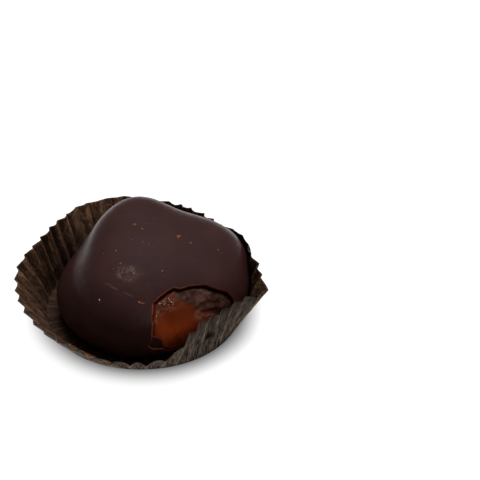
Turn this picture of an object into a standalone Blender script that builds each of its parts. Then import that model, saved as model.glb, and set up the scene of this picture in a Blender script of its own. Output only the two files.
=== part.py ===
"""Chocolate-dipped apricot with a broken place in its coat, standing in a fluted paper case."""

import math

import bmesh
import bpy
import numpy as np
from mathutils import Matrix, Vector
from mathutils.bvhtree import BVHTree

MM = 0.001

# Dipped fruit: two rounded lobes, placed from the middle of the case's floor.
# Each has a centre, half-sizes, a power (2 is an ellipsoid, more is boxier), and how many
# degrees its top dips to the front and to the right.
BELLY = ((-0.8, -0.5, 4.5), (18.8, 20.8, 12.3), 1.8, 0, 0)
PLATEAU = ((5.4, 0.7, 9.5), (18.5, 14.4, 9.1), 2.8, 16.0, 12.5)
LOBE_BLEND = 2.2
# A low swell that fills out the back: azimuth and elevation from the hub, height, spread.
CROWN = (102.0, 37.0, 3.1, 26.0)
# A band that rounds out the front below the plateau: as above, with its two spreads.
FRONT_BAND = (-120.0, 13.0, 1.3, 64.0, 19.0)
HUB = (1.5, 0.0, 8.0)
FOOT_HEIGHT = 0.72
FOOT_BLEND = 0.8
COAT_THICKNESS = 1.2
FRUIT_GAP = 0.3
SKIN_CELLS = 12
FARTHEST_SKIN = 60.0
HALVINGS = 26

# Broken place in the coat: corners on a plane that faces out from the hub, across and up.
WINDOW_AZIMUTH = -60.0
WINDOW_DISTANCE = 20.0
WINDOW_DEPTH = (0.55, 1.35)
WINDOW_OUTLINE = (
    (-10.0, -1.1),
    (-9.8, 3.6),
    (-9.3, 7.7),
    (-6.9, 8.9),
    (-4.8, 9.6),
    (-3.0, 10.2),
    (-1.1, 10.4),
    (0.9, 9.3),
    (5.0, 9.0),
    (8.9, 7.8),
    (10.7, 5.8),
    (13.3, 3.7),
    (13.7, 1.2),
    (13.0, -4.5),
    (8.0, -6.4),
    (-1.0, -6.6),
    (-5.8, -5.5),
    (-7.2, -4.0),
    (-9.9, -3.1),
    (-11.1, -2.2),
)

# Paper case. Its floor bows up a little between the places that touch the table.
BASE_RADIUS = 22.25
FLOOR_BOW = 0.12
FLOOR_FEET = 4
FIRST_FOOT = 45.0
PAPER = 0.25
FLUTES = 46
FLUTE_STEPS = 4
FLUTE_DEPTH = 1.0
PRESSED_DEPTH = 0.35
FLUTE_RUN_IN = 4.0
# Rows of corners up the wall, by how far along the paper they are from the floor's edge.
WALL_ROWS = (0.0, 1.2, 3.0, 6.0, 9.5, 13.0)
FRUIT_CLEARANCE = 0.44
REACH_BAND = 1.2
# How steeply the wall stands (degrees above the table) at azimuths from +X towards +Y.
WALL_LEAN = (
    (0, 72),
    (30, 88),
    (60, 85),
    (85, 78),
    (98, 68),
    (113, 53.5),
    (137, 69),
    (155, 73),
    (182, 60),
    (212, 54),
    (240, 49),
    (260, 42),
    (277, 43),
    (296, 66),
    (312, 74),
    (330, 70),
    (342, 57),
    (351, 67),
)


def material(name, colour, roughness, coat=0.0):
    made = bpy.data.materials.new(name)
    made.use_nodes = True
    shader = made.node_tree.nodes["Principled BSDF"]
    shader.inputs["Base Color"].default_value = (*colour, 1.0)
    shader.inputs["Roughness"].default_value = roughness
    shader.inputs["Metallic"].default_value = 0.0
    shader.inputs["Coat Weight"].default_value = coat
    return made


def pointing(azimuth, elevation):
    """Unit vector at an azimuth from +X and an elevation above the table, in degrees."""
    turn = math.radians(azimuth)
    rise = math.radians(elevation)
    return np.array((math.cos(turn) * math.cos(rise), math.sin(turn) * math.cos(rise), math.sin(rise)))


def lobe_reach(directions, lobe):
    """Distance in mm from the hub to a lobe's skin along each direction, by halving."""
    centre, radii, power, to_front, to_right = lobe
    turn = Matrix.Rotation(math.radians(to_front), 3, "X") @ Matrix.Rotation(math.radians(to_right), 3, "Y")
    turn = np.array(turn)
    start = (np.array(HUB) - centre) @ turn
    along = directions @ turn
    near = np.zeros(len(directions))
    far = np.full(len(directions), FARTHEST_SKIN)
    for _ in range(HALVINGS):
        middle = (near + far) / 2
        place = np.abs((start + along * middle[:, None]) / radii)
        inside = (place**power).sum(axis=1) < 1
        near = np.where(inside, middle, near)
        far = np.where(inside, far, middle)
    return near


def fruit_skin(directions):
    """Points in mm on the dipped fruit's skin: the lobes blended, and flattened where it stands."""
    reach = np.array([lobe_reach(directions, lobe) for lobe in (BELLY, PLATEAU)])
    blended = LOBE_BLEND * np.logaddexp.reduce(reach / LOBE_BLEND, axis=0)
    azimuth, elevation, height, spread = CROWN
    away = np.degrees(np.arccos(np.clip(directions @ pointing(azimuth, elevation), -1, 1)))
    blended += height * np.exp(-((away / spread) ** 2))
    azimuth, elevation, height, spread, rise = FRONT_BAND
    beside = (np.degrees(np.arctan2(directions[:, 1], directions[:, 0])) - azimuth + 180) % 360 - 180
    above = np.degrees(np.arcsin(directions[:, 2])) - elevation
    blended += height * np.exp(-((beside / spread) ** 2) - (above / rise) ** 2)
    points = np.array(HUB) + directions * blended[:, None]
    height = (points[:, 2] - FOOT_HEIGHT) / FOOT_BLEND
    points[:, 2] = FOOT_HEIGHT + FOOT_BLEND * np.logaddexp(0, height)
    return points


def fruit_mesh(name):
    """A cube cut into cells on each side, rounded out to the fruit's skin."""
    mesh = bpy.data.meshes.new(name)
    shape = bmesh.new()
    bmesh.ops.create_cube(shape, size=2.0)
    bmesh.ops.subdivide_edges(shape, edges=shape.edges, cuts=SKIN_CELLS - 1, use_grid_fill=True)
    on_cube = np.array([corner.co for corner in shape.verts])
    # The tangent spreads the cells evenly over the sphere.
    spread = np.tan(on_cube * math.pi / 4)
    directions = spread / np.linalg.norm(spread, axis=1)[:, None]
    for corner, place in zip(shape.verts, fruit_skin(directions)):
        corner.co = place * MM
    shape.to_mesh(mesh)
    shape.free()
    return mesh


def window_cutter():
    """A tapered plug through the coat at the broken place, narrowing towards the hub."""
    turn = math.radians(WINDOW_AZIMUTH)
    out = Vector((math.cos(turn), math.sin(turn), 0))
    across = Vector((-math.sin(turn), math.cos(turn), 0))
    shape = bmesh.new()
    corners = []
    for sideways, up in WINDOW_OUTLINE:
        ray = out * WINDOW_DISTANCE + across * sideways + Vector((0, 0, up))
        corners.append(shape.verts.new(ray * WINDOW_DEPTH[0] * MM))
    face = shape.faces.new(corners)
    grown = bmesh.ops.extrude_face_region(shape, geom=[face])
    far = [part for part in grown["geom"] if isinstance(part, bmesh.types.BMVert)]
    bmesh.ops.scale(shape, vec=Vector((1, 1, 1)) * WINDOW_DEPTH[1] / WINDOW_DEPTH[0], verts=far)
    bmesh.ops.recalc_face_normals(shape, faces=shape.faces)
    mesh = bpy.data.meshes.new("window_cutter")
    shape.to_mesh(mesh)
    shape.free()
    cutter = bpy.data.objects.new("window_cutter", mesh)
    cutter.location = Vector(HUB) * MM
    cutter.hide_render = True
    cutter.display_type = "WIRE"
    return cutter


def wall_lean(azimuth):
    """The wall's lean in radians at an azimuth in degrees, eased between the listed places."""
    places = [place for place, _ in WALL_LEAN] + [WALL_LEAN[0][0] + 360]
    leans = [lean for _, lean in WALL_LEAN] + [WALL_LEAN[0][1]]
    azimuth = azimuth % 360
    after = next(i for i, place in enumerate(places) if place > azimuth)
    share = (azimuth - places[after - 1]) / (places[after] - places[after - 1])
    eased = (1 - math.cos(math.pi * share)) / 2
    return math.radians(leans[after - 1] + (leans[after] - leans[after - 1]) * eased)


def fruit_reach(tree, azimuth, height):
    """How far in mm the fruit's side comes from the case's axis near a height, or 0 above it."""
    out = Vector((math.cos(azimuth), math.sin(azimuth), 0))
    found = [0.0]
    for level in (height - REACH_BAND, height, height + REACH_BAND):
        start = out * FARTHEST_SKIN * MM + Vector((0, 0, level * MM))
        hit = tree.ray_cast(start, -out)[0]
        if hit:
            found.append(hit.xy.length / MM)
    return max(found)


def case_mesh(tree):
    """The case's outer skin: a turned profile whose wall then leans, and flutes, by azimuth."""
    profile = bpy.data.meshes.new("case_profile")
    line = [((BASE_RADIUS + slant) * MM, 0, slant * MM) for slant in reversed(WALL_ROWS)]
    line.append((0, 0, 0))
    profile.from_pydata(line, [(i, i + 1) for i in range(len(line) - 1)], [])
    turned = bpy.data.objects.new("case_profile", profile)
    bpy.context.scene.collection.objects.link(turned)
    screw = turned.modifiers.new("turn", "SCREW")
    screw.steps = FLUTES * FLUTE_STEPS
    screw.render_steps = FLUTES * FLUTE_STEPS
    screw.use_merge_vertices = True
    screw.merge_threshold = 0.0001
    graph = bpy.context.evaluated_depsgraph_get()
    mesh = bpy.data.meshes.new_from_object(turned.evaluated_get(graph))
    bpy.data.objects.remove(turned)
    for corner in mesh.vertices:
        radius = corner.co.xy.length / MM
        slant = corner.co.z / MM
        azimuth = math.atan2(corner.co.y, corner.co.x)
        standing = (1 + math.cos(FLOOR_FEET * (azimuth - math.radians(FIRST_FOOT)))) / 2
        lift = FLOOR_BOW * (1 - standing * min(radius / BASE_RADIUS, 1) ** 2)
        if slant < WALL_ROWS[1] / 2:
            corner.co.z = lift * MM
            continue
        lean = wall_lean(math.degrees(azimuth))
        height = lift + slant * math.sin(lean)
        radius = BASE_RADIUS + slant * math.cos(lean)
        # Where the fruit presses on the wall it squeezes the flutes flat, then pushes the wall out.
        inner = fruit_reach(tree, azimuth, height) + FRUIT_CLEARANCE + PAPER
        depth = min(max(radius - inner, PRESSED_DEPTH), FLUTE_DEPTH)
        depth *= min(slant / FLUTE_RUN_IN, 1)
        radius = max(radius, inner + depth)
        fold = depth * abs(math.sin(FLUTES * azimuth / 2))
        height += fold * math.cos(lean)
        radius -= fold * math.sin(lean)
        corner.co = (radius * MM * math.cos(azimuth), radius * MM * math.sin(azimuth), height * MM)
    return mesh


def collection(name):
    made = bpy.data.collections.new(name)
    bpy.context.scene.collection.children.link(made)
    return made


def placed(name, mesh, look, group, stand):
    mesh.materials.clear()
    mesh.materials.append(look)
    made = bpy.data.objects.new(name, mesh)
    made.parent = stand
    group.objects.link(made)
    mesh.shade_smooth()
    return made


def build():
    for old in list(bpy.data.objects):
        bpy.data.objects.remove(old)
    parts = collection("chocolate_dipped_apricot")
    cutters = collection("cutters")
    stand = bpy.data.objects.new("case_floor_centre", None)
    parts.objects.link(stand)

    skin = fruit_mesh("chocolate_shell")
    shape = bmesh.new()
    shape.from_mesh(skin)
    tree = BVHTree.FromBMesh(shape)
    shape.free()

    cutter = window_cutter()
    cutter.parent = stand
    cutters.objects.link(cutter)
    dark = material("dark_chocolate", (0.037, 0.0135, 0.0125), 0.38)
    coat = placed("chocolate_shell", skin, dark, parts, stand)
    wall = coat.modifiers.new("thickness", "SOLIDIFY")
    wall.thickness = COAT_THICKNESS * MM
    wall.offset = -1
    broken = coat.modifiers.new("broken_place", "BOOLEAN")
    broken.object = cutter
    broken.operation = "DIFFERENCE"

    amber = material("candied_apricot", (0.13, 0.024, 0.006), 0.3, coat=0.5)
    fruit = placed("apricot", fruit_mesh("apricot"), amber, parts, stand)
    inset = fruit.modifiers.new("inside_the_coat", "DISPLACE")
    inset.mid_level = 0
    inset.strength = -(COAT_THICKNESS + FRUIT_GAP) * MM

    brown = material("brown_glassine", (0.045, 0.032, 0.022), 0.55)
    case = placed("paper_case", case_mesh(tree), brown, parts, stand)
    sheet = case.modifiers.new("paper", "SOLIDIFY")
    sheet.thickness = PAPER * MM
    sheet.offset = -1

    # The box round the case and fruit is centred on the origin.
    bpy.context.view_layer.update()
    graph = bpy.context.evaluated_depsgraph_get()
    shown = [made.evaluated_get(graph).data.vertices for made in (case, coat)]
    corners = np.array([corner.co for vertices in shown for corner in vertices])
    middle = (corners.min(axis=0) + corners.max(axis=0)) / 2
    stand.location = (-middle[0], -middle[1], 0)


build()
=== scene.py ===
"""A chocolate-dipped apricot with a broken coat, in its fluted paper case."""

import math

import bmesh
import bpy
import numpy as np
from mathutils import Matrix, Vector, noise
from mathutils.bvhtree import BVHTree


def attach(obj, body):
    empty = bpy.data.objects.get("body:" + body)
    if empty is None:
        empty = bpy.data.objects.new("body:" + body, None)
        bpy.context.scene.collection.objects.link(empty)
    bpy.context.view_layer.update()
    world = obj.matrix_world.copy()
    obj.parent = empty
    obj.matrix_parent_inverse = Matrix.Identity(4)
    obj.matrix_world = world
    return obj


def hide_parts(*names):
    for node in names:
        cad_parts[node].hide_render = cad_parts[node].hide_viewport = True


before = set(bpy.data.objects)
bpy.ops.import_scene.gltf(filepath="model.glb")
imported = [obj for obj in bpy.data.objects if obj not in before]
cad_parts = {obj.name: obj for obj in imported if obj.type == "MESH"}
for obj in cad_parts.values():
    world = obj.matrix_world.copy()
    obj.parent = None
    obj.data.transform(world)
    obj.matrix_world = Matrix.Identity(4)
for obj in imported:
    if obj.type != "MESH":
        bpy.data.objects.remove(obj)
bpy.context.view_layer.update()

# Candied apricot. A whole soft fruit, cooked in syrup until it is amber and clear on one side
# and brown and wrinkled on the other. The coat hides it, apart from the broken place, where it
# swells out towards the hole.
MM = 0.001
# Each lobe's centre and radii in mm, its power, and its tilt to the front and to the right.
BELLY = ((-0.8, -0.5, 4.5), (18.8, 20.8, 12.3), 1.8, 0, 0)
PLATEAU = ((5.4, 0.7, 9.5), (18.5, 14.4, 9.1), 2.8, 16.0, 12.5)
LOBE_BLEND = 2.2
# Two low swells: azimuth and elevation from the hub, height in mm, and spread in degrees.
CROWN = (102.0, 37.0, 3.1, 26.0)
FRONT_BAND = (-120.0, 13.0, 1.3, 64.0, 19.0)
HUB = Vector((1.5, 0.0, 8.0))
FOOT_HEIGHT = 0.72
FOOT_BLEND = 0.8
COAT_THICKNESS = 1.2
FRUIT_GAP = 0.3
FARTHEST_SKIN = 60.0
HALVINGS = 26
# The broken place: corners on a plane that faces out from the hub, across and up.
WINDOW_AZIMUTH = -60.0
WINDOW_DISTANCE = 20.0
WINDOW_OUTLINE = (
    (-10.0, -1.1),
    (-9.8, 3.6),
    (-9.3, 7.7),
    (-6.9, 8.9),
    (-4.8, 9.6),
    (-3.0, 10.2),
    (-1.1, 10.4),
    (0.9, 9.3),
    (5.0, 9.0),
    (8.9, 7.8),
    (10.7, 5.8),
    (13.3, 3.7),
    (13.7, 1.2),
    (13.0, -4.5),
    (8.0, -6.4),
    (-1.0, -6.6),
    (-5.8, -5.5),
    (-7.2, -4.0),
    (-9.9, -3.1),
    (-11.1, -2.2),
)
WINDOW_SPAN = 25.0
FAR_FROM_WINDOW = 99.0
LEAST_FACING = 0.25
EDGE_STEP = 0.3
EDGE_WANDER = 0.22
COARSE_SNAG = 1.7
FINE_SNAG = 0.55
FINE_SHARE = 0.45
BATCH = 2000
FRUIT_CELLS = 44
FRUIT_CUTS = 4
HOLE_MIDDLE = (1.5, 1.5)
HOLE_HALF = (15.0, 11.0)
SWELL = 0.95
EXTRA_SWELL_LOW = 0.4
WRINKLE = 0.3
WRINKLE_SIZE = 2.1
SMOOTH_SHARE = 0.07
FIBRE = 0.03
# The brown side lies to the upper right of a slanting, wavering line.
BROWN_START = 5.5
BROWN_SLANT = 0.85
BROWN_WAVER = 1.1
BROWN_BLUR = 2.2
PUCKER_MIDDLE = (-4.6, 6.6)
PUCKER_REACH = (2.4, 1.9)
# Painted highlights, as paler pinkish patches where the wet skin shines: across, up and reach on the
# window's plane.
PAINTED_HIGHLIGHTS = ((-8.8, 2.9, 0.8), (3.2, 0.7, 2.4), (5.6, -1.6, 3.2), (-5.5, 7.4, 0.9))
HIGHLIGHT_MOST = 0.8
HIGHLIGHT_TONE = (0.55, 0.26, 0.20)

# The case's floor is round about this point of the frame, and the fruit is placed from there.
FLOOR_TOP = 0.2 * MM
case_corners = [corner.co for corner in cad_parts["paper_case"].data.vertices]
floor_corners = [place for place in case_corners if place.z < FLOOR_TOP]
floor_x = [place.x for place in floor_corners]
floor_y = [place.y for place in floor_corners]
STAND = np.array(((min(floor_x) + max(floor_x)) / 2, (min(floor_y) + max(floor_y)) / 2, 0)) / MM


def pointing(azimuth, elevation):
    """The unit vector of an azimuth and an elevation in degrees."""
    turn = math.radians(azimuth)
    rise = math.radians(elevation)
    return np.array((math.cos(turn) * math.cos(rise), math.sin(turn) * math.cos(rise), math.sin(rise)))


WINDOW_OUT = pointing(WINDOW_AZIMUTH, 0)
WINDOW_ACROSS = pointing(WINDOW_AZIMUTH + 90, 0)


def lobe_reach(directions, lobe):
    """Distance in mm from the hub to a lobe's skin along each direction, by halving."""
    centre, radii, power, to_front, to_right = lobe
    turn = Matrix.Rotation(math.radians(to_front), 3, "X") @ Matrix.Rotation(math.radians(to_right), 3, "Y")
    turn = np.array(turn)
    start = (np.array(HUB) - centre) @ turn
    along = directions @ turn
    near = np.zeros(len(directions))
    far = np.full(len(directions), FARTHEST_SKIN)
    for _ in range(HALVINGS):
        middle = (near + far) / 2
        place = np.abs((start + along * middle[:, None]) / radii)
        inside = (place**power).sum(axis=1) < 1
        near = np.where(inside, middle, near)
        far = np.where(inside, far, middle)
    return near


def fruit_skin(directions):
    """Points in mm on the dipped fruit's skin, from the middle of the case's floor."""
    reach = np.array([lobe_reach(directions, lobe) for lobe in (BELLY, PLATEAU)])
    blended = LOBE_BLEND * np.logaddexp.reduce(reach / LOBE_BLEND, axis=0)
    azimuth, elevation, height, spread = CROWN
    away = np.degrees(np.arccos(np.clip(directions @ pointing(azimuth, elevation), -1, 1)))
    blended += height * np.exp(-((away / spread) ** 2))
    azimuth, elevation, height, spread, rise = FRONT_BAND
    beside = (np.degrees(np.arctan2(directions[:, 1], directions[:, 0])) - azimuth + 180) % 360 - 180
    above = np.degrees(np.arcsin(directions[:, 2])) - elevation
    blended += height * np.exp(-((beside / spread) ** 2) - (above / rise) ** 2)
    points = np.array(HUB) + directions * blended[:, None]
    height = (points[:, 2] - FOOT_HEIGHT) / FOOT_BLEND
    points[:, 2] = FOOT_HEIGHT + FOOT_BLEND * np.logaddexp(0, height)
    return points


def ease(low, high, value):
    """From 0 at low to 1 at high, without a corner at either end."""
    share = np.clip((value - low) / (high - low), 0, 1)
    return share * share * (3 - 2 * share)


def ripple(points, size, seed):
    """Smooth noise of about -1 to 1 at each point, with waves of about that size."""
    shift = Vector((seed * 7.3, seed * 3.1, seed * 1.7))
    return np.array([noise.noise(Vector(place) / size + shift) for place in points])


def ragged_outline():
    """The broken place's outline in short steps that wander as a snapped edge does."""
    corners = [Vector(corner) for corner in WINDOW_OUTLINE]
    steps = []
    for first, second in zip(corners, corners[1:] + corners[:1]):
        count = max(1, round((second - first).length / EDGE_STEP))
        beside = (second - first).normalized().orthogonal()
        for step in range(count):
            place = first.lerp(second, step / count)
            spot = Vector((place.x, place.y, 0))
            coarse = noise.noise(spot / COARSE_SNAG + Vector((0, 0, 4.2)))
            fine = noise.noise(spot / FINE_SNAG + Vector((0, 0, 9.6)))
            steps.append(place + beside * EDGE_WANDER * (coarse + FINE_SHARE * fine))
    return np.array(steps)


BROKEN_EDGE = ragged_outline()


def on_window(directions):
    """Where each direction from the hub meets the window's plane: across, up."""
    facing = directions @ WINDOW_OUT
    ahead = facing > LEAST_FACING
    scale = np.where(ahead, WINDOW_DISTANCE / np.where(ahead, facing, 1), 0)
    across = np.where(ahead, (directions @ WINDOW_ACROSS) * scale, FAR_FROM_WINDOW)
    up = np.where(ahead, directions[:, 2] * scale, FAR_FROM_WINDOW)
    return np.stack((across, up), axis=1)


def from_edge(places):
    """Signed distance in mm from the broken edge on the window's plane, below 0 in the hole."""
    start = BROKEN_EDGE
    end = np.roll(BROKEN_EDGE, -1, axis=0)
    along = end - start
    distance = np.full(len(places), FAR_FROM_WINDOW)
    near = np.nonzero(np.abs(places).max(axis=1) < WINDOW_SPAN)[0]
    for part in np.array_split(near, max(1, len(near) // BATCH)):
        offset = places[part][:, None] - start[None]
        share = np.clip((offset * along).sum(axis=2) / (along**2).sum(axis=1), 0, 1)
        gap = np.linalg.norm(offset - share[..., None] * along, axis=2).min(axis=1)
        x, y = places[part][:, 0, None], places[part][:, 1, None]
        spans = (start[:, 1] > y) != (end[:, 1] > y)
        rise = np.where(end[:, 1] == start[:, 1], 1, end[:, 1] - start[:, 1])
        crossing = start[:, 0] + (y - start[:, 1]) * along[:, 0] / rise
        inside = (spans & (x < crossing)).sum(axis=1) % 2 == 1
        distance[part] = np.where(inside, -gap, gap)
    return distance


def round_grid(cells, cuts, refined):
    """Directions and triangles of a rounded cube grid, cut finer where refined says so."""
    shape = bmesh.new()
    bmesh.ops.create_cube(shape, size=2.0)
    bmesh.ops.subdivide_edges(shape, edges=shape.edges, cuts=cells - 1, use_grid_fill=True)

    def directions():
        spread = np.tan(np.array([corner.co for corner in shape.verts]) * math.pi / 4)
        return spread / np.linalg.norm(spread, axis=1)[:, None]

    shape.verts.index_update()
    chosen = refined(directions())
    edges = [edge for edge in shape.edges if all(chosen[corner.index] for corner in edge.verts)]
    bmesh.ops.subdivide_edges(shape, edges=edges, cuts=cuts - 1, use_grid_fill=True)
    bmesh.ops.triangulate(shape, faces=shape.faces)
    shape.verts.index_update()
    found = directions()
    faces = np.array([[corner.index for corner in face.verts] for face in shape.faces])
    shape.free()
    return found, faces


def outward(points, faces):
    """Unit normals at the points of a triangle mesh."""
    sides = points[faces]
    facing = np.cross(sides[:, 1] - sides[:, 0], sides[:, 2] - sides[:, 0])
    total = np.zeros(points.shape)
    for corner in range(3):
        np.add.at(total, faces[:, corner], facing)
    return total / np.linalg.norm(total, axis=1)[:, None]


def placed(name, data):
    """An object of that name in the scene."""
    made = bpy.data.objects.new(name, data)
    bpy.context.scene.collection.objects.link(made)
    return made


def finished(name, points, faces, look):
    """A smooth piece from points in mm about the case's floor, at its place in the frame."""
    mesh = bpy.data.meshes.new(name)
    mesh.from_pydata((points + STAND) * MM, [], faces)
    mesh.materials.append(look)
    mesh.shade_smooth()
    return placed(name, mesh)


def note(mesh, name, values):
    """Stores a number for each corner of the mesh, for its material to read."""
    mesh.attributes.new(name, "FLOAT", "POINT").data.foreach_set("value", values.astype(np.float32))


def wire(tree, source, target):
    tree.links.new(source, target)


def mottle_group():
    """Noise as a mask between two limits, in metres of object space or any other place."""
    group = bpy.data.node_groups.new("mottle", "ShaderNodeTree")
    for name, kind, value in (
        ("Place", "NodeSocketVector", (0, 0, 0)),
        ("Scale", "NodeSocketFloat", 300),
        ("Detail", "NodeSocketFloat", 3),
        ("Wander", "NodeSocketFloat", 0),
        ("From", "NodeSocketFloat", 0.4),
        ("To", "NodeSocketFloat", 0.6),
    ):
        group.interface.new_socket(name, in_out="INPUT", socket_type=kind).default_value = value
    group.interface.new_socket("Mask", in_out="OUTPUT", socket_type="NodeSocketFloat")
    start = group.nodes.new("NodeGroupInput")
    grain = group.nodes.new("ShaderNodeTexNoise")
    limits = group.nodes.new("ShaderNodeMapRange")
    limits.interpolation_type = "SMOOTHSTEP"
    end = group.nodes.new("NodeGroupOutput")
    for source, target in (
        ("Place", "Vector"),
        ("Scale", "Scale"),
        ("Detail", "Detail"),
        ("Wander", "Distortion"),
    ):
        wire(group, start.outputs[source], grain.inputs[target])
    wire(group, grain.outputs["Fac"], limits.inputs["Value"])
    wire(group, start.outputs["From"], limits.inputs["From Min"])
    wire(group, start.outputs["To"], limits.inputs["From Max"])
    wire(group, limits.outputs["Result"], end.inputs["Mask"])
    return group


MOTTLE = mottle_group()


class Finish:
    """A material under way: its nodes, and short ways to add the usual ones."""

    def __init__(self, name, **values):
        self.made = bpy.data.materials.new(name)
        self.made.use_nodes = True
        self.tree = self.made.node_tree
        self.shader = self.tree.nodes["Principled BSDF"]
        for socket, value in values.items():
            self.shader.inputs[socket.replace("_", " ")].default_value = value
        self.place = self.tree.nodes.new("ShaderNodeTexCoord").outputs["Object"]

    def put(self, target, value):
        if isinstance(value, bpy.types.NodeSocket):
            wire(self.tree, value, target)
        else:
            target.default_value = value

    def stretched(self, scale, turn=(0, 0, 0), place=None):
        node = self.tree.nodes.new("ShaderNodeMapping")
        node.inputs["Scale"].default_value = scale
        node.inputs["Rotation"].default_value = turn
        wire(self.tree, place or self.place, node.inputs["Vector"])
        return node.outputs["Vector"]

    def mottle(self, scale, low, high, detail=3.0, wander=0.0, place=None):
        node = self.tree.nodes.new("ShaderNodeGroup")
        node.node_tree = MOTTLE
        self.put(node.inputs["Place"], place or self.place)
        settings = {"Scale": scale, "From": low, "To": high, "Detail": detail, "Wander": wander}
        for socket, value in settings.items():
            node.inputs[socket].default_value = value
        return node.outputs["Mask"]

    def noted(self, name):
        """What the mesh holds under that name."""
        node = self.tree.nodes.new("ShaderNodeAttribute")
        node.attribute_name = name
        return node.outputs["Fac"]

    def sum(self, operation, first, second):
        node = self.tree.nodes.new("ShaderNodeMath")
        node.operation = operation
        self.put(node.inputs[0], first)
        self.put(node.inputs[1], second)
        return node.outputs[0]

    def mixed(self, share, first, second):
        """Between two colours, or between two numbers."""
        colour = not isinstance(first, (int, float)) and not (
            isinstance(first, bpy.types.NodeSocket) and first.type == "VALUE"
        )
        node = self.tree.nodes.new("ShaderNodeMix")
        node.data_type = "RGBA" if colour else "FLOAT"
        here = 6 if colour else 2
        self.put(node.inputs[0], share)
        for index, value in ((here, first), (here + 1, second)):
            if colour and not isinstance(value, bpy.types.NodeSocket):
                value = (*value, 1)
            self.put(node.inputs[index], value)
        return node.outputs[2 if colour else 0]

    def bumped(self, height, distance, onto=None):
        node = self.tree.nodes.new("ShaderNodeBump")
        node.inputs["Distance"].default_value = distance * MM
        wire(self.tree, height, node.inputs["Height"])
        if onto:
            wire(self.tree, onto, node.inputs["Normal"])
        return node.outputs["Normal"]

    def use(self, **sockets):
        for socket, value in sockets.items():
            wire(self.tree, value, self.shader.inputs[socket.replace("_", " ")])


def near_hole(directions):
    away = np.abs(on_window(directions) - HOLE_MIDDLE)
    return (away < HOLE_HALF).all(axis=1)


directions, faces = round_grid(FRUIT_CELLS, FRUIT_CUTS, near_hole)
points = fruit_skin(directions)
normals = outward(points, faces)
points -= normals * (COAT_THICKNESS + FRUIT_GAP)
places = on_window(directions)
inward = -from_edge(places)
across, up = places.T
shown = np.nonzero(inward > 0)[0]
seen = points[shown]
seen_across = across[shown]
seen_up = up[shown]
seen_inward = inward[shown]
browned = np.zeros(len(points))
side = seen_across - BROWN_START + BROWN_SLANT * seen_up + BROWN_WAVER * ripple(seen, 2.5, 1)
above_amber = ease(-2.5, 2.0, seen_up + 0.35 * (seen_across - 4))
browned[shown] = ease(-BROWN_BLUR, BROWN_BLUR, side) * above_amber
# The fibres are long upright waves, and the wrinkles are sharp ridges.
fibre_place = np.stack((seen_across * 2.3, seen_up * 0.3, np.zeros(len(shown))), axis=1)
fibres = ripple(fibre_place, 1.0, 2)
ridges = np.array([
    noise.ridged_multi_fractal(Vector(place) / WRINKLE_SIZE, 0.9, 2.1, 4, 0.85, 1.7)
    for place in seen
]) - 1
# It fills the break flush along the bottom, and draws back a little from the upper lip.
low = ease(2.0, -3.0, seen_up) * ease(-8.6, -6.8, seen_across)
ramp = ease(0.1, 1.1, seen_inward) * (1 - low) + ease(0.05, 0.55, seen_inward) * low
swell = (SWELL + EXTRA_SWELL_LOW * low) * ramp * (1 - 0.1 * ease(3.0, 9.0, seen_up))
# The upper left of the hole is puckered, where the wet skin catches the light.
pucker_across = (seen_across - PUCKER_MIDDLE[0]) / PUCKER_REACH[0]
pucker_up = (seen_up - PUCKER_MIDDLE[1]) / PUCKER_REACH[1]
puckered = np.exp(-(pucker_across**2) - pucker_up**2)
wrinkled = SMOOTH_SHARE + (1 - SMOOTH_SHARE) * np.maximum(browned[shown], puckered)
texture = WRINKLE * ridges * wrinkled + FIBRE * fibres * (1 - browned[shown])
relief = np.zeros(len(points))
relief[shown] = swell + ease(0.2, 1.2, seen_inward) * texture
points += normals * relief[:, None]

amber = Finish("candied_apricot", Roughness=0.3, Coat_Weight=0.4, Coat_Roughness=0.09, IOR=1.45)
amber.shader.inputs["Subsurface Weight"].default_value = 0.6
amber.shader.inputs["Subsurface Radius"].default_value = (1.0, 0.22, 0.06)
amber.shader.inputs["Subsurface Scale"].default_value = 3.2 * MM
brown_side = amber.noted("browned")
streaks = amber.mottle(430, 0.3, 0.75, place=amber.stretched((1, 1, 0.08)))
deep = amber.mottle(420, 0.38, 0.64, wander=0.8)
amber_flesh = amber.mixed(streaks, (0.40, 0.066, 0.012), (0.30, 0.042, 0.007))
# The flesh is painted darker towards the top of the break, as painted shade under the coat's lip, and kept
# bright amber lower down, where it stands in for glow that the case's shade takes away.
top_shade_flesh = amber.mixed(streaks, (0.16, 0.040, 0.017), (0.10, 0.020, 0.009))
brown_flesh = amber.mixed(deep, (0.115, 0.052, 0.038), (0.055, 0.019, 0.011))
flesh = amber.mixed(amber.noted("painted_top_shade"), amber_flesh, top_shade_flesh)
flesh = amber.mixed(brown_side, flesh, brown_flesh)
# Painted highlights: paler pinkish patches where the wet skin shines.
specks = amber.mixed(amber.mottle(1100, 0.35, 0.6), 0.3, 1.0)
flesh = amber.mixed(amber.sum("MULTIPLY", amber.noted("painted_highlight"), specks), flesh, HIGHLIGHT_TONE)
wet = amber.mottle(600, 0.45, 0.6)
puckers = amber.mottle(1500, 0.25, 0.75, detail=1, wander=0.4)
pucker = amber.sum("MULTIPLY", amber.noted("puckered"), puckers)
grain = amber.sum("MULTIPLY", amber.mottle(1300, 0.3, 0.75), brown_side)
amber.use(
    Base_Color=flesh,
    Roughness=amber.mixed(amber.noted("puckered"), amber.mixed(wet, 0.16, 0.26), 0.05),
    Normal=amber.bumped(grain, 0.08, amber.bumped(pucker, 0.3)),
)
fruit_tree = BVHTree.FromPolygons(points.tolist(), faces.tolist())
fruit = finished("candied_fruit", points, faces, amber.made)
painted_highlight = np.zeros(len(points))
for patch_across, patch_up, reach in PAINTED_HIGHLIGHTS:
    away = np.hypot(across - patch_across, up - patch_up) / reach
    painted_highlight = np.maximum(painted_highlight, HIGHLIGHT_MOST * ease(1, 0, away))
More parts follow.
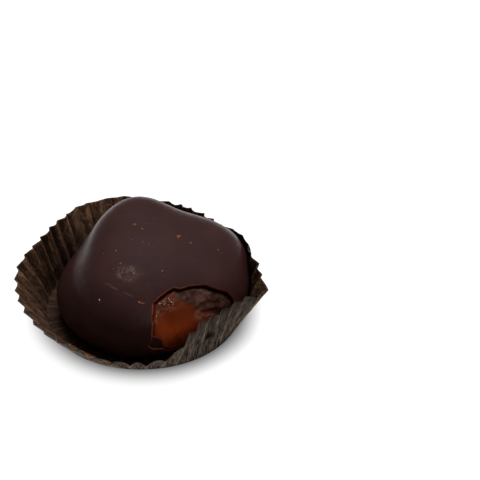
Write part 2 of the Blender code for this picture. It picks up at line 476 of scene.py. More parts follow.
note(fruit.data, "browned", browned)
note(fruit.data, "painted_highlight", painted_highlight)
folds = np.zeros(len(points))
folds[shown] = puckered
note(fruit.data, "puckered", folds)
# Painted shade: 0 low in the break, rising to 1 towards its top, for the flesh's darker tone.
note(fruit.data, "painted_top_shade", ease(-0.5, 7.0, up + 0.6 * ripple(points, 3.0, 6)))
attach(fruit, "root")
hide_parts("apricot")

# Chocolate coat. Dark chocolate that set on the dipped fruit, about a millimetre thick and satin, and
# snapped open at the front, where its edge is ragged and stained by syrup. Its lip is painted lighter,
# partly as a painted highlight where the corner catches the light.
COAT_CELLS = 60
COAT_CUTS = 4
NEAR_EDGE = 1.6
SMALL_STEP = 0.05
EDGE_ROUNDING = 0.2
EDGE_DROP = 0.6
EDGE_SLOPE = 1.25
BROKEN_ROWS = 5
BROKEN_ROUGHNESS = 0.09
BROKEN_GRAIN = 0.6
WAVE = 0.08
LONG_WAVE = 7.0
SHORT_WAVE = 1.8
SHORT_SHARE = 0.25
# A pinhole, with a pale grain in it as a painted glint: azimuth and elevation from the hub.
PIT = (-126.1, 15.9)
PIT_DEPTH = 0.3
PIT_REACH = 0.75
NEAR_PIT = 3.0


def snapped(directions, faces):
    """Moves the corners nearest the broken edge onto it, and leaves out what is in the hole."""
    places = on_window(directions)
    distance = from_edge(places)
    ends = np.sort(np.concatenate((faces[:, :2], faces[:, 1:], faces[:, ::2])), axis=1)
    ends = np.unique(ends, axis=0)
    crossing = ends[distance[ends[:, 0]] * distance[ends[:, 1]] < 0]
    nearest = {}
    for first, second in crossing:
        share = abs(distance[first]) / (abs(distance[first]) + abs(distance[second]))
        moved, towards = (first, second) if share < 0.5 else (second, first)
        share = min(share, 1 - share)
        if moved not in nearest or share < nearest[moved][0]:
            nearest[moved] = (share, towards)
    for moved, (share, towards) in nearest.items():
        place = places[moved] + (places[towards] - places[moved]) * share
        ray = WINDOW_OUT * WINDOW_DISTANCE + WINDOW_ACROSS * place[0] + np.array((0, 0, place[1]))
        directions[moved] = ray / np.linalg.norm(ray)
    distance = from_edge(on_window(directions))
    distance[list(nearest)] = 0
    middle = directions[faces].mean(axis=1)
    hollow = from_edge(on_window(middle / np.linalg.norm(middle, axis=1)[:, None])) < 0
    over_hole = distance[faces].min(axis=1) < 0
    kept = faces[~(hollow & (distance[faces].max(axis=1) <= 0) | over_hole)]
    used, index = np.unique(kept, return_inverse=True)
    return directions[used], index.reshape(-1, 3), distance[used]


def near_edge(directions):
    distance = from_edge(on_window(directions))
    pit = directions @ pointing(*PIT) > math.cos(math.radians(NEAR_PIT))
    return (np.abs(distance) < NEAR_EDGE) | pit


directions, faces = round_grid(COAT_CELLS, COAT_CUTS, near_edge)
directions, faces, distance = snapped(directions, faces)
points = fruit_skin(directions)
normals = outward(points, faces)
places = on_window(directions)
inner = points - normals * COAT_THICKNESS
# The left side of the break slopes in to the fruit, and the rest is snapped square.
slope = EDGE_SLOPE * ease(-5.0, -9.0, places[:, 0]) * ease(2.2, 0.0, distance)
into_hole = from_edge(places + np.array((SMALL_STEP, 0))) - distance
inner += WINDOW_ACROSS * (slope * np.where(into_hole < 0, 1, 0))[:, None]
waves = WAVE * (ripple(points, LONG_WAVE, 3) + SHORT_SHARE * ripple(points, SHORT_WAVE, 4))
pit_away = np.degrees(np.arccos(np.clip(directions @ pointing(*PIT), -1, 1)))
waves -= PIT_DEPTH * np.exp(-((pit_away / PIT_REACH) ** 2))
rounding = np.clip(1 - distance / EDGE_ROUNDING, 0, 1)
waves -= EDGE_ROUNDING * (1 - np.sqrt(1 - rounding**2)) * EDGE_DROP
points += normals * waves[:, None]

# The broken face runs from the outer skin to the inner one in a few rough rows.
sides = np.concatenate((faces[:, :2], faces[:, 1:], faces[:, [2, 0]]))
known = {tuple(side) for side in sides.tolist()}
rim = [side for side in known if side[::-1] not in known]
rim_corners = sorted({corner for side in rim for corner in side})
count = len(points)
stack = [points, inner]
rows = {corner: [corner] for corner in rim_corners}
made_rows = []
for row in range(1, BROKEN_ROWS):
    share = row / BROKEN_ROWS
    for corner in rim_corners:
        place = points[corner] * (1 - share) + inner[corner] * share
        rough = np.concatenate([ripple([place], BROKEN_GRAIN, seed) for seed in (10, 12, 14)])
        rows[corner].append(2 * count + len(made_rows))
        made_rows.append(place + BROKEN_ROUGHNESS * rough)
for corner in rim_corners:
    rows[corner].append(corner + count)
walls = []
for first, second in rim:
    for row in range(BROKEN_ROWS):
        a, b = rows[first][row], rows[second][row]
        c, d = rows[second][row + 1], rows[first][row + 1]
        walls += [(b, a, d), (b, d, c)]
points = np.concatenate((points, inner, np.array(made_rows)))
lip = np.concatenate((ease(0.3, 0.1, distance), np.zeros(count + len(made_rows))))
broken = np.concatenate((np.zeros(count), np.ones(count + len(made_rows))))
faces = np.concatenate((faces, faces[:, ::-1] + count, np.array(walls)))

# A chip of the coat still hangs in the lower left corner of the break.
CHIP = (
    (-9.9, -0.2),
    (-8.6, -0.6),
    (-7.5, -1.8),
    (-7.6, -2.9),
    (-8.5, -3.3),
    (-9.8, -3.0),
    (-10.8, -2.2),
)
CHIP_SUNK = 0.15
CHIP_DEPTH = 0.5
CHIP_BUMPS = 0.10
CHIP_SNAGS = 0.12
CHIP_RINGS = 6
CHIP_STEPS = 5


def skin_at(places):
    """The skin, and its unit normals, at places on the window's plane."""
    found = []
    for across, up in ((0, 0), (SMALL_STEP, 0), (0, SMALL_STEP)):
        rays = WINDOW_OUT * WINDOW_DISTANCE + (places[:, :1] + across) * WINDOW_ACROSS
        rays = rays + (places[:, 1:] + up) * np.array((0, 0, 1.0))
        found.append(fruit_skin(rays / np.linalg.norm(rays, axis=1)[:, None]))
    facing = np.cross(found[1] - found[0], found[2] - found[0])
    return found[0], facing / np.linalg.norm(facing, axis=1)[:, None]


def chip():
    """Rings of corners about the chip's middle, on its outer and its inner face."""
    corners = np.array(CHIP)
    following = np.roll(corners, -1, axis=0)
    share = np.arange(CHIP_STEPS)[None, :, None] / CHIP_STEPS
    rough_edge = (corners[:, None] * (1 - share) + following[:, None] * share).reshape(-1, 2)
    flat_edge = np.c_[rough_edge, np.zeros(len(rough_edge))]
    rough_edge += CHIP_SNAGS * np.stack([ripple(flat_edge, 0.5, seed) for seed in (7, 8)], axis=1)
    middle = rough_edge.mean(axis=0)
    round_count = len(rough_edge)
    places = [middle[None]]
    for ring in range(1, CHIP_RINGS + 1):
        places.append(middle + (rough_edge - middle) * ring / CHIP_RINGS)
    places = np.concatenate(places)
    skin, facing = skin_at(places)
    bumps = CHIP_BUMPS * ripple(skin, 0.8, 9)
    outer = skin - facing * (CHIP_SUNK + bumps)[:, None]
    under = skin - facing * (CHIP_SUNK + CHIP_DEPTH)
    top = []
    for ring in range(CHIP_RINGS):
        for step in range(round_count):
            after = (step + 1) % round_count
            near, near_after = (1 + (ring - 1) * round_count + place for place in (step, after))
            far, far_after = near + round_count, near_after + round_count
            if ring == 0:
                top.append((0, far_after, far))
            else:
                top += [(near, far_after, far), (near, near_after, far_after)]
    top = np.array(top)
    last = 1 + (CHIP_RINGS - 1) * round_count
    count = len(places)
    wall = []
    for step in range(round_count):
        a, b = last + step, last + (step + 1) % round_count
        wall += [(a, b, b + count), (a, b + count, a + count)]
    chip_faces = np.concatenate((top, top[:, ::-1] + count, np.array(wall)))
    return np.concatenate((outer, under)), chip_faces


chip_points, chip_faces = chip()
sides = chip_points[chip_faces] - chip_points.mean(axis=0)
volume = np.einsum("ij,ij->", sides[:, 0], np.cross(sides[:, 1], sides[:, 2]))
if volume < 0:
    chip_faces = chip_faces[:, ::-1]
faces = np.concatenate((faces, chip_faces + len(points)))
points = np.concatenate((points, chip_points))
lip = np.concatenate((lip, np.zeros(len(chip_points))))
broken = np.concatenate((broken, np.zeros(len(chip_points))))


def spot_group():
    """A soft spot: 1 at its centre and 0 at its reach, in any turn and as long as needed."""
    group = bpy.data.node_groups.new("spot", "ShaderNodeTree")
    for name in ("Place", "Centre", "Turn", "Reach"):
        group.interface.new_socket(name, in_out="INPUT", socket_type="NodeSocketVector")
    group.interface.new_socket("Mask", in_out="OUTPUT", socket_type="NodeSocketFloat")
    start = group.nodes.new("NodeGroupInput")
    about = group.nodes.new("ShaderNodeMapping")
    about.vector_type = "TEXTURE"
    away = group.nodes.new("ShaderNodeVectorMath")
    away.operation = "LENGTH"
    fall = group.nodes.new("ShaderNodeMapRange")
    fall.interpolation_type = "SMOOTHSTEP"
    fall.inputs["From Min"].default_value = 1
    fall.inputs["From Max"].default_value = 0
    end = group.nodes.new("NodeGroupOutput")
    for source, target in (
        ("Place", "Vector"),
        ("Centre", "Location"),
        ("Turn", "Rotation"),
        ("Reach", "Scale"),
    ):
        wire(group, start.outputs[source], about.inputs[target])
    wire(group, about.outputs["Vector"], away.inputs[0])
    wire(group, away.outputs["Value"], fall.inputs["Value"])
    wire(group, fall.outputs["Result"], end.inputs["Mask"])
    return group


SPOT = spot_group()


def spotted(look, centre, reach, turn=(0, 0, 0)):
    """A spot on the object, from its centre and reach in mm about the case's floor."""
    node = look.tree.nodes.new("ShaderNodeGroup")
    node.node_tree = SPOT
    wire(look.tree, look.place, node.inputs["Place"])
    node.inputs["Centre"].default_value = (np.array(centre) + STAND) * MM
    node.inputs["Reach"].default_value = np.array(reach) * MM
    node.inputs["Turn"].default_value = turn
    return node.outputs["Mask"]


dark = Finish("dark_chocolate", Roughness=0.38, IOR=1.5)
cloudy = dark.mottle(110, 0.35, 0.7)
fine = dark.mottle(700, 0.4, 0.7)
brown = dark.mixed(cloudy, (0.033, 0.0117, 0.0110), (0.041, 0.0150, 0.0140))
# Fat bloom in a streaky patch: a faint wide spot, and two smaller ones in it.
BLOOM_TONE = (0.185, 0.122, 0.092)
FAINT_BLOOM = ((-2.7, -9.8, 17.5), (4.2, 3.6, 2.6))
STRONG_BLOOMS = (
    ((-4.1, -9.6, 17.3), (1.6, 2.4, 2.0)),
    ((-2.0, -11.0, 16.8), (2.6, 1.4, 2.0)),
)
bloom = dark.sum("MULTIPLY", spotted(dark, *FAINT_BLOOM), 0.5)
for centre, reach in STRONG_BLOOMS:
    bloom = dark.sum("MAXIMUM", bloom, spotted(dark, centre, reach))
streaked = dark.stretched((1, 0.5, 1), (0, 0, 0.7))
grains = dark.mottle(950, 0.38, 0.64, detail=5, wander=1.2, place=streaked)
bloom = dark.sum("MULTIPLY", bloom, dark.mixed(dark.mottle(430, 0.42, 0.58), 0.25, 1.0))
brown = dark.mixed(dark.sum("MULTIPLY", bloom, dark.mixed(grains, 0.06, 1.0)), brown, BLOOM_TONE)
# Scuffs left by a fork, as faint pale lines and shallow grooves: both ends, and half the width.
SCUFFS = (
    ((-7.3, -12.0, 15.7), (-4.2, -13.8, 15.3), 0.30),
    ((-4.4, -13.7, 15.3), (-0.6, -15.3, 14.6), 0.26),
    ((-6.6, -13.6, 14.6), (-2.4, -15.0, 14.3), 0.22),
    ((-8.5, -11.3, 15.8), (-5.5, -12.6, 15.7), 0.20),
)
SCUFF_HEIGHT = 0.9
SCUFF_TONE = (0.092, 0.058, 0.057)
scuffed = 0.0
for first, second, width in SCUFFS:
    first, second = Vector(first), Vector(second)
    turn = (second - first).to_track_quat("X", "Z").to_euler()
    reach = ((second - first).length / 2, width, SCUFF_HEIGHT)
    scuff = spotted(dark, (first + second) / 2, reach, turn)
    scuffed = dark.sum("MAXIMUM", scuffed, scuff)
brown = dark.mixed(dark.sum("MULTIPLY", scuffed, 0.75), brown, SCUFF_TONE)
# The lip's reddish tone is partly syrup stain and partly a painted highlight on the corner that catches the
# light.
edge = dark.mixed(fine, (0.36, 0.085, 0.038), (0.20, 0.038, 0.016))
syrup_stained = dark.mixed(fine, (0.12, 0.018, 0.007), (0.05, 0.008, 0.004))
skin_bump = dark.bumped(dark.mottle(420, 0.3, 0.7), 0.012)
skin_bump = dark.bumped(dark.mottle(2600, 0.3, 0.8), 0.006, skin_bump)
inside_tone = dark.mixed(dark.noted("broken"), brown, syrup_stained)
dark.use(
    Base_Color=dark.mixed(dark.noted("lip"), inside_tone, edge),
    Roughness=dark.mixed(fine, 0.36, 0.44),
    Normal=dark.bumped(scuffed, -0.02, skin_bump),
)
coat = finished("chocolate_coat", points, faces, dark.made)
note(coat.data, "broken", broken)
note(coat.data, "lip", lip)
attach(coat, "root")
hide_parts("chocolate_shell")

# Crumbs. Bits of candied fruit that fell on the coat while it was soft, and set half sunk in it, with a
# fine dust of the same all over, some of it paler. Pale grains, one in the pinhole and a few on the wet
# skin in the break, are painted glints.
# Each crumb has its azimuth and elevation from the hub, its size and its paleness.
CRUMBS = (
    (139.0, 72.6, 0.62, 0.0),
    (132.0, 80.0, 0.54, 0.0),
    (9.8, 59.2, 0.82, 0.0),
    (13.0, 57.4, 0.42, 0.0),
    (1.4, 46.9, 0.36, 0.1),
    (1.7, 27.2, 0.30, 0.1),
    (13.4, 17.3, 0.26, 0.1),
    (-70.1, 44.1, 0.30, 0.1),
    (-95.8, 20.2, 0.46, 0.1),
    (-94.4, 19.8, 0.40, 0.0),
    (-92.9, 19.4, 0.52, 0.0),
    # The last, fully pale grain sits in the pinhole as a painted glint.
    (-126.1, 16.6, 0.34, 1.0),
)
# Pale grains on the puckered skin in the break, painted glints for the wet skin's sparkles: across, up,
# size, paleness.
GLINT_GRAINS = (
    (-7.2, 6.8, 0.34, 0.55),
    (-6.7, 6.6, 0.26, 0.45),
    (-5.7, 6.1, 0.30, 0.6),
    (-5.3, 6.3, 0.18, 0.4),
    (-3.9, 7.3, 0.22, 0.45),
    (-3.7, 6.8, 0.24, 0.6),
    (-3.4, 6.2, 0.32, 0.8),
    (-3.1, 5.4, 0.24, 0.6),
    (-4.4, 5.7, 0.18, 0.45),
    (-2.5, 6.7, 0.16, 0.4),
    (-2.7, 5.9, 0.18, 0.5),
    (-4.9, 7.5, 0.16, 0.35),
)
CRUMB_LUMPS = 0.45
CRUMB_LENGTH = 1.45
CRUMB_HEIGHT = 0.5
BLOOM_MIDDLE = (-113.5, 42.5)
BLOOM_SPREAD = (9.0, 3.6)
BLOOM_CRUMBS = 12
DUST = 26
CRUMB_DRAW = 11
DROP_HEIGHT = 40
PALE_DUST_AND_GLINT_TONE = (0.80, 0.72, 0.62)


def crumb_at(shape, tone, place, normal, size, paleness, seed):
    """An uneven bit, lower and longer than it is wide, with half of its depth in the coat."""
    made = bmesh.ops.create_icosphere(shape, subdivisions=2, radius=size / 2)["verts"]
    turn = normal.to_track_quat("Z", "Y") @ Matrix.Rotation(seed * 1.9, 3, "Z").to_quaternion()
    for corner in made:
        lump = noise.noise(corner.co * 3 / size + Vector((seed, 0, 0)))
        swollen = corner.co * (1 + CRUMB_LUMPS * lump)
        swollen.z *= CRUMB_HEIGHT
        swollen.x *= CRUMB_LENGTH
        corner.co = place + turn @ swollen
        corner[tone] = paleness


coat_tree = BVHTree.FromPolygons(points.tolist(), faces.tolist())
draw = np.random.default_rng(CRUMB_DRAW)
crumbs = list(CRUMBS)
for _ in range(BLOOM_CRUMBS):
    azimuth, elevation = BLOOM_MIDDLE + draw.normal(0, 1, 2) * BLOOM_SPREAD
    crumbs.append((azimuth, elevation, draw.uniform(0.1, 0.2), draw.uniform(0.1, 0.4)))
for _ in range(DUST):
    azimuth, elevation = draw.uniform(-180, 180), draw.uniform(20, 80)
    crumbs.append((azimuth, elevation, draw.uniform(0.1, 0.18), draw.uniform(0, 0.4)))
sprinkles = [(coat_tree, Vector(pointing(*crumb[:2])), *crumb[2:]) for crumb in crumbs]
for across, up, size, paleness in GLINT_GRAINS:
    aim = Vector(WINDOW_OUT * WINDOW_DISTANCE + WINDOW_ACROSS * across + np.array((0, 0, up)))
    sprinkles.append((fruit_tree, aim.normalized(), size, paleness))
shape = bmesh.new()
tone = shape.verts.layers.float.new("paleness")
for seed, (under, aim, size, paleness) in enumerate(sprinkles):
    place, normal, _, _ = under.ray_cast(HUB + DROP_HEIGHT * aim, -aim)
    if place:
        crumb_at(shape, tone, place, normal, size, paleness, seed)
for corner in shape.verts:
    corner.co = (corner.co + Vector(STAND)) * MM
mesh = bpy.data.meshes.new("fruit_crumbs")
shape.to_mesh(mesh)
shape.free()
mesh.shade_smooth()
bits = Finish("fruit_crumbs", Roughness=0.4)
paleness = bits.noted("paleness")
flecks = bits.mottle(2500, 0.4, 0.6)
fruity = bits.mixed(flecks, (0.27, 0.078, 0.030), (0.15, 0.036, 0.014))
bits.use(Base_Color=bits.mixed(paleness, fruity, PALE_DUST_AND_GLINT_TONE), Normal=bits.bumped(flecks, 0.02))
mesh.materials.append(bits.made)
sprinkled = placed("fruit_crumbs", mesh)
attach(sprinkled, "root")

# Paper case. Thin brown glassine, pressed between toothed dies into a flat round floor and a
# fluted wall. The fruit has pushed the wall out unevenly, and it stands steeply where it rubs.
CASE_SIZES = {
    "Flutes": 46,
    "Steps per flute": 12,
    "Floor rows": 10,
    "Wall rows": 34,
    "Base radius": 22.25 * MM,
    "Wall slant": 13.0 * MM,
    "Flute depth": 1.0 * MM,
    "Pressed depth": 0.35 * MM,
    "Flute run-in": 4.0 * MM,
    "Floor bow": 0.12 * MM,
    "Feet": 4,
    "First foot": math.radians(45),
    "Fruit clearance": 0.55 * MM,
    "Reach band": 1.2 * MM,
    "Crumple": 0.16 * MM,
    "Rim wander": 0.35 * MM,
    "Seed": 5.0,
}
PAPER = 0.12
# Painted shadow of a shallow dent in the paper.
DENT_SHADOW_TONE = (0.004, 0.003, 0.0025)
# How steeply the wall stands at each azimuth, both in degrees.
WALL_LEAN = (
    (0, 72),
    (30, 88),
    (60, 85),
    (85, 78),
    (98, 68),
    (113, 53.5),
    (137, 69),
    (155, 73),
    (182, 60),
    (212, 54),
    (240, 49),
    (260, 42),
    (277, 43),
    (296, 66),
    (312, 74),
    (330, 70),
    (342, 57),
    (351, 67),
    (360, 72),
)


class Pleats:
    """The case's node tree under way, with sums written out as calls."""

    def __init__(self, name):
        self.tree = bpy.data.node_groups.new(name, "GeometryNodeTree")
        self.tree.interface.new_socket("Geometry", in_out="OUTPUT", socket_type="NodeSocketGeometry")
        self.start = self.tree.nodes.new("NodeGroupInput")
        self.end = self.tree.nodes.new("NodeGroupOutput")

    def size(self, name, kind, value=None):
        socket = self.tree.interface.new_socket(name, in_out="INPUT", socket_type=kind)
        if value is not None:
            socket.default_value = value
        return self.start.outputs[name]

    def node(self, kind, inputs=(), **settings):
        made = self.tree.nodes.new(kind)
        for setting, value in settings.items():
            setattr(made, setting, value)
        for socket, value in dict(inputs).items():
            if isinstance(value, bpy.types.NodeSocket):
                wire(self.tree, value, made.inputs[socket])
            else:
                made.inputs[socket].default_value = value
        return made

    def sum(self, operation, first, second=0.0, third=None):
        inputs = {0: first, 1: second}
        if third is not None:
            inputs[2] = third
        return self.node("ShaderNodeMath", inputs, operation=operation).outputs[0]

    def times(self, *values):
        total = values[0]
        for value in values[1:]:
            total = self.sum("MULTIPLY", total, value)
        return total

    def plus(self, *values):
        total = values[0]
        for value in values[1:]:
            total = self.sum("ADD", total, value)
        return total

    def place(self, x, y, z):
        return self.node("ShaderNodeCombineXYZ", {0: x, 1: y, 2: z}).outputs[0]

    def waver(self, place, scale, detail=2.0):
        """Noise about zero, up to about a half each way."""
        grain = self.node("ShaderNodeTexNoise", {"Vector": place, "Scale": scale, "Detail": detail})
        return self.sum("SUBTRACT", grain.outputs[0], 0.5)


case = Pleats("fluted_case")
kinds = {int: "NodeSocketInt", float: "NodeSocketFloat"}
size = {name: case.size(name, kinds[type(value)], value) for name, value in CASE_SIZES.items()}
centre = case.size("Floor centre", "NodeSocketVector", tuple(STAND * MM))
pressing = case.size("Fruit", "NodeSocketObject")
paper_look = case.size("Paper", "NodeSocketMaterial")
columns = case.plus(case.times(size["Flutes"], size["Steps per flute"]), 1)
all_rows = case.plus(size["Floor rows"], size["Wall rows"])
grid = case.node("GeometryNodeMeshGrid", {
    "Size X": 1.0,
    "Size Y": 1.0,
    "Vertices X": columns,
    "Vertices Y": case.plus(all_rows, 1),
})
flat = case.node("ShaderNodeSeparateXYZ", {0: case.node("GeometryNodeInputPosition").outputs[0]})
around = case.plus(flat.outputs[0], 0.5)
along = case.plus(flat.outputs[1], 0.5)
floor_share = case.sum("DIVIDE", size["Floor rows"], all_rows)
on_floor = case.sum("MINIMUM", case.sum("DIVIDE", along, floor_share), 1.0)
wall_share = case.sum("SUBTRACT", 1.0, floor_share)
up_wall = case.sum("DIVIDE", case.sum("SUBTRACT", along, floor_share), wall_share)
up_wall = case.sum("MAXIMUM", up_wall, 0.0)
circle = case.times(around, 2 * math.pi)
ring = case.place(case.sum("COSINE", circle), case.sum("SINE", circle), size["Seed"])
azimuth = case.plus(circle, case.times(case.waver(ring, 6.0), 0.10))
turn_x = case.sum("COSINE", azimuth)
turn_y = case.sum("SINE", azimuth)
rim_reach = case.plus(size["Wall slant"], case.times(case.waver(ring, 9.0), size["Rim wander"], 2.0))
slant = case.times(up_wall, rim_reach)
lean_curve = case.node("ShaderNodeFloatCurve", {
    "Value": case.sum("FRACT", case.sum("DIVIDE", azimuth, 2 * math.pi)),
})
curve = lean_curve.mapping.curves[0]
while len(curve.points) < len(WALL_LEAN):
    curve.points.new(0.5, 0.5)
for point, (place, lean) in zip(curve.points, WALL_LEAN):
    point.location = (place / 360, lean / 90)
    point.handle_type = "AUTO_CLAMPED"
lean_curve.mapping.update()
lean = case.times(lean_curve.outputs[0], math.pi / 2)
lean_out = case.sum("COSINE", lean)
lean_up = case.sum("SINE", lean)
foot = case.times(size["Feet"], case.sum("SUBTRACT", azimuth, size["First foot"]))
standing = case.times(case.plus(case.sum("COSINE", foot), 1.0), 0.5)
lift = case.times(size["Floor bow"], case.sum("SUBTRACT", 1.0, case.times(standing, on_floor, on_floor)))
height = case.plus(lift, case.times(slant, lean_up))
radius = case.plus(case.times(on_floor, size["Base radius"]), case.times(slant, lean_out))
fruit_shape = case.node("GeometryNodeObjectInfo", {"Object": pressing}).outputs["Geometry"]
back_in = case.place(case.times(turn_x, -1.0), case.times(turn_y, -1.0), 0.0)
reaches = []
for step in (-1.0, 0.0, 1.0):
    level = case.plus(height, case.times(size["Reach band"], step))
    far = FARTHEST_SKIN * MM
    away = case.place(case.times(turn_x, far), case.times(turn_y, far), level)
    away = case.node("ShaderNodeVectorMath", {0: away, 1: centre}, operation="ADD").outputs[0]
    ray = case.node("GeometryNodeRaycast", {
        "Target Geometry": fruit_shape,
        "Source Position": away,
        "Ray Direction": back_in,
        "Ray Length": far,
    })
    hit_far = case.sum("SUBTRACT", far, ray.outputs["Hit Distance"])
    reaches.append(case.times(hit_far, ray.outputs["Is Hit"]))
reach = case.sum("MAXIMUM", reaches[0], case.sum("MAXIMUM", reaches[1], reaches[2]))
pushed = case.plus(reach, size["Fruit clearance"])
depth = case.sum("SUBTRACT", radius, pushed)
depth = case.sum("MINIMUM", case.sum("MAXIMUM", depth, size["Pressed depth"]), size["Flute depth"])
depth = case.times(depth, case.sum("MINIMUM", case.sum("DIVIDE", slant, size["Flute run-in"]), 1.0))
is_wall = case.sum("GREATER_THAN", up_wall, 0.0)
pushed_out = case.sum("MAXIMUM", case.sum("SUBTRACT", case.plus(pushed, depth), radius), 0.0)
radius = case.plus(radius, case.times(pushed_out, is_wall))
wave = case.sum("ABSOLUTE", case.sum("SINE", case.times(circle, size["Flutes"], 0.5)))
fold = case.times(depth, wave)
# Crumpling stands off the wall's own face, in broad dents and in fine upright wrinkles.
sheet_place = case.place(case.times(turn_x, radius), case.times(turn_y, radius), height)
upright_place = case.place(turn_x, turn_y, case.times(up_wall, 0.25))
dents = case.waver(sheet_place, 260.0)
wrinkles = case.times(case.waver(upright_place, 55.0, 3.0), 0.8)
run_in = case.sum("MINIMUM", case.times(up_wall, 4.0), 1.0)
crumple = case.times(case.plus(dents, wrinkles), size["Crumple"], run_in)
fold = case.plus(fold, crumple)
height = case.plus(height, case.times(fold, lean_out))
radius = case.sum("SUBTRACT", radius, case.times(fold, lean_up))
shaped = case.place(case.times(turn_x, radius), case.times(turn_y, radius), height)
shaped = case.node("ShaderNodeVectorMath", {0: shaped, 1: centre}, operation="ADD").outputs[0]
sheet = grid.outputs["Mesh"]
for name, value in (("flute", wave), ("up_wall", up_wall)):
    sheet = case.node("GeometryNodeStoreNamedAttribute", {
        "Geometry": sheet,
        "Name": name,
        "Value": value,
    }, data_type="FLOAT", domain="POINT").outputs[0]
grain_place = case.place(case.times(turn_x, 22.0), case.times(turn_y, 22.0), case.times(up_wall, 1.6))
sheet = case.node("GeometryNodeStoreNamedAttribute", {
    "Geometry": sheet,
    "Name": "grain_place",
    "Value": grain_place,
}, data_type="FLOAT_VECTOR", domain="POINT").outputs[0]
sheet = case.node("GeometryNodeSetPosition", {"Geometry": sheet, "Position": shaped}).outputs[0]
sheet = case.node("GeometryNodeMergeByDistance", {"Geometry": sheet, "Distance": 0.002 * MM}).outputs[0]
sheet = case.node("GeometryNodeRealizeInstances", {"Geometry": sheet}).outputs[0]
sheet = case.node("GeometryNodeSetMaterial", {"Geometry": sheet, "Material": paper_look}).outputs[0]
wire(case.tree, sheet, case.end.inputs[0])


def glassine(name, light, dark_tone, ridge_tone, base_tone, dent_shadow=None):
    """One side of the paper: mottled fibre along the flutes, fold lines and a bottom in tones of their own,
    partly painted light and shade, and where asked a dark patch painted as a dent's shadow.
    """
    paper = Finish(name, Roughness=0.6, IOR=1.05)
    place = paper.tree.nodes.new("ShaderNodeAttribute")
    place.attribute_name = "grain_place"
    place = place.outputs["Vector"]
    long_place = paper.stretched((1, 1, 0.8), place=place)
    cross_place = paper.stretched((1, 1, 4), place=place)
    patches = paper.mottle(1.1, 0.36, 0.64, detail=4, wander=0.5, place=place)
    threads = paper.mottle(4.5, 0.38, 0.62, detail=5, place=long_place)
    blotches = paper.mottle(1.0, 0.4, 0.62, detail=5, wander=0.8, place=cross_place)
    tone = paper.mixed(patches, light, dark_tone)
    tone = paper.mixed(paper.sum("MULTIPLY", blotches, 0.7), tone, dark_tone)
    tone = paper.mixed(paper.sum("MULTIPLY", threads, 0.4), tone, dark_tone)
    # Towards the floor the paper turns to base_tone: lighter on the outside, and darker on the inside, as
    # painted shade in the bottom of the case.
    base = paper.sum("SUBTRACT", 1.0, paper.noted("up_wall"))
    tone = paper.mixed(base, tone, paper.mixed(threads, base_tone, dark_tone))
    # Fold lines take a tone of their own: lighter on the outside, partly wear and partly a painted
    # highlight where the sharp folds catch the light, and darker on the inside, as painted shade in the
    # creases.
    ridge = paper.sum("SUBTRACT", 1.0, paper.noted("flute"))
    ridge = paper.sum("MULTIPLY", paper.sum("POWER", ridge, 4.0), paper.mixed(threads, 1.0, 0.4))
    tone = paper.mixed(ridge, tone, ridge_tone)
    # A dark patch painted as the shadow of a shallow dent.
    if dent_shadow:
        centre, reach, towards = dent_shadow
        turn = Vector(towards).to_track_quat("X", "Z").to_euler()
        tone = paper.mixed(spotted(paper, centre, reach, turn), tone, DENT_SHADOW_TONE)
    paper.use(
        Base_Color=tone,
        Roughness=paper.mixed(patches, 0.5, 0.68),
        Normal=paper.bumped(threads, 0.14, paper.bumped(blotches, 0.16)),
    )
    return paper.made


# The outside has a dark patch at the front right, painted as a dent's shadow.
outside = glassine(
    "glassine_outside",
    light=(0.104, 0.078, 0.061),
    dark_tone=(0.035, 0.026, 0.021),
    ridge_tone=(0.240, 0.184, 0.142),
    base_tone=(0.200, 0.150, 0.114),
    dent_shadow=((14.8, -17.9, 5.7), (3.8, 2.9, 2.1), (2.7, 1.9, 1.7)),
)
# The inside is painted lighter than the outside, as painted light that stands in for light coming through
# the thin paper.
inside = glassine(
    "glassine_inside",
    light=(0.30, 0.166, 0.090),
    dark_tone=(0.068, 0.035, 0.022),
    ridge_tone=(0.15, 0.092, 0.060),
    base_tone=(0.040, 0.025, 0.021),
)

paper_cup = placed("fluted_case", bpy.data.meshes.new("fluted_case"))
pleating = paper_cup.modifiers.new("pleats", "NODES")
pleating.node_group = case.tree
settings = {**CASE_SIZES, "Floor centre": tuple(STAND * MM), "Fruit": coat, "Paper": outside}
for item in case.tree.interface.items_tree:
    if item.in_out == "INPUT":
        pleating[item.identifier] = settings[item.name]
graph = bpy.context.evaluated_depsgraph_get()
pleated = bpy.data.meshes.new_from_object(paper_cup.evaluated_get(graph))
paper_cup.modifiers.remove(pleating)
paper_cup.data = pleated
shape = bmesh.new()
shape.from_mesh(pleated)
bmesh.ops.recalc_face_normals(shape, faces=shape.faces)
lowest = min(shape.faces, key=lambda face: face.calc_center_median().z)
if lowest.normal.z > 0:
    bmesh.ops.reverse_faces(shape, faces=shape.faces)
shape.to_mesh(pleated)
shape.free()
pleated.shade_smooth()
pleated.materials.append(inside)
sheet_depth = paper_cup.modifiers.new("paper", "SOLIDIFY")
sheet_depth.thickness = PAPER * MM
sheet_depth.offset = -1
sheet_depth.material_offset = 1
sheet_depth.material_offset_rim = 0
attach(paper_cup, "root")
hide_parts("paper_case")

# Stage. A plain pale table that is lit from itself, soft light from above and behind, a small
# lamp over the front, and a camera at the photograph's angle. None of it is part of the piece.
CAMERA_RISE = math.radians(36.37)
CAMERA_DISTANCE = 450.0
PIXELS_PER_MM = 4.374
PICTURE = 480
STAND_PIXEL = (144.5, 307.1)
SENSOR = 36.0
TABLE_HALF = 3.0
SHADE_SHIFT = (0.4, 0.0, 0.0)
SHADE_DARK = 19.8
SHADE_ENDS = 28.7

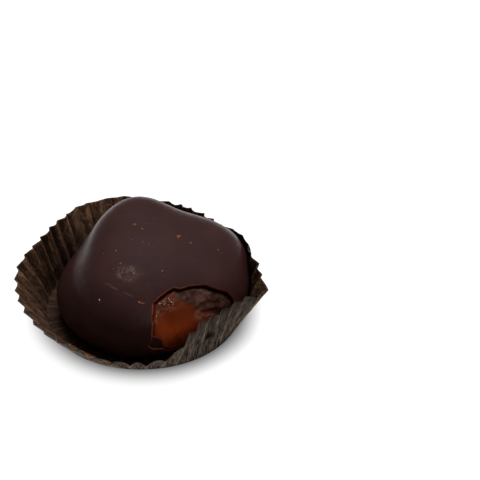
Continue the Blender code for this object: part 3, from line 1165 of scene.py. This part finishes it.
table_mesh = bpy.data.meshes.new("table_top")
table_corners = [(x * TABLE_HALF, y * TABLE_HALF, 0) for x, y in ((-1, -1), (1, -1), (1, 1), (-1, 1))]
table_mesh.from_pydata(table_corners, [], [(0, 1, 2, 3)])
table_top = placed("table_top", table_mesh)
pale = Finish("pale_table", Roughness=0.9, IOR=1.3)
speckle = pale.mottle(40, 0.3, 0.7)
pale.use(Base_Color=pale.mixed(speckle, (0.15, 0.15, 0.15), (0.17, 0.17, 0.17)))
pale.shader.inputs["Emission Strength"].default_value = 1.0
# The lit table darkens only right under the case, as a soft contact shadow.
away = pale.tree.nodes.new("ShaderNodeVectorMath")
away.operation = "DISTANCE"
wire(pale.tree, pale.place, away.inputs[0])
away.inputs[1].default_value = (STAND + SHADE_SHIFT) * MM
contact = pale.tree.nodes.new("ShaderNodeMapRange")
contact.interpolation_type = "SMOOTHSTEP"
wire(pale.tree, away.outputs["Value"], contact.inputs["Value"])
contact.inputs["From Min"].default_value = SHADE_DARK * MM
contact.inputs["From Max"].default_value = SHADE_ENDS * MM
pale.use(Emission_Color=pale.mixed(contact.outputs["Result"], (0.02, 0.02, 0.02), (1, 1, 1)))
table_mesh.materials.append(pale.made)

back = Vector((0, -math.cos(CAMERA_RISE), math.sin(CAMERA_RISE)))
right = Vector((1, 0, 0))
above = Vector((0, math.sin(CAMERA_RISE), math.cos(CAMERA_RISE)))
aside = (PICTURE / 2 - STAND_PIXEL[0]) / PIXELS_PER_MM
raised = (STAND_PIXEL[1] - PICTURE / 2) / PIXELS_PER_MM
eye = (back * CAMERA_DISTANCE + right * aside + above * raised + Vector(STAND)) * MM
camera = placed("photo_camera", bpy.data.cameras.new("photo_camera"))
camera.data.sensor_width = SENSOR
camera.data.lens = SENSOR * PIXELS_PER_MM * CAMERA_DISTANCE / PICTURE
camera.data.clip_start = 0.01
camera.matrix_world = Matrix.Translation(eye) @ Matrix((right, above, back)).transposed().to_4x4()
bpy.context.scene.camera = camera


def soft_light(name, place, size_across, power, mirrored=True):
    """A square lamp that faces the piece, with its size in metres and its power in watts."""
    light = bpy.data.lights.new(name, "AREA")
    light.size = size_across
    light.energy = power
    made = placed(name, light)
    made.location = place
    made.rotation_euler = (-Vector(place)).to_track_quat("-Z", "Y").to_euler()
    made.visible_glossy = mirrored


# The tent overhead is broad, so that it leaves no hot spot on the satin coat.
soft_light("tent", place=(0.15, 0.49, 1.14), size_across=0.9, power=19.5, mirrored=False)
# A small lamp over the front gives the wet fruit its sparkles.
soft_light("lamp", place=(0.43, -0.70, 0.73), size_across=0.035, power=0.22)
# The room glows softly towards the top and the back, which the coat mirrors.
ROOM_GLOW = {"From Min": 0.2, "From Max": 1.05, "To Min": 0.01, "To Max": 0.15}
BACK_SHARE = 0.6
world = bpy.data.worlds.new("studio")
world.use_nodes = True
room = world.node_tree
looking = room.nodes.new("ShaderNodeTexCoord")
split = room.nodes.new("ShaderNodeSeparateXYZ")
wire(room, looking.outputs["Generated"], split.inputs[0])
rise = room.nodes.new("ShaderNodeMath")
rise.operation = "MULTIPLY_ADD"
wire(room, split.outputs["Y"], rise.inputs[0])
rise.inputs[1].default_value = BACK_SHARE
wire(room, split.outputs["Z"], rise.inputs[2])
glow = room.nodes.new("ShaderNodeMapRange")
glow.interpolation_type = "SMOOTHSTEP"
wire(room, rise.outputs[0], glow.inputs["Value"])
for socket, value in ROOM_GLOW.items():
    glow.inputs[socket].default_value = value
wire(room, glow.outputs["Result"], room.nodes["Background"].inputs["Strength"])
room.nodes["Background"].inputs["Color"].default_value = (1, 1, 1, 1)
bpy.context.scene.world = world
bpy.context.scene.view_settings.view_transform = "Standard"
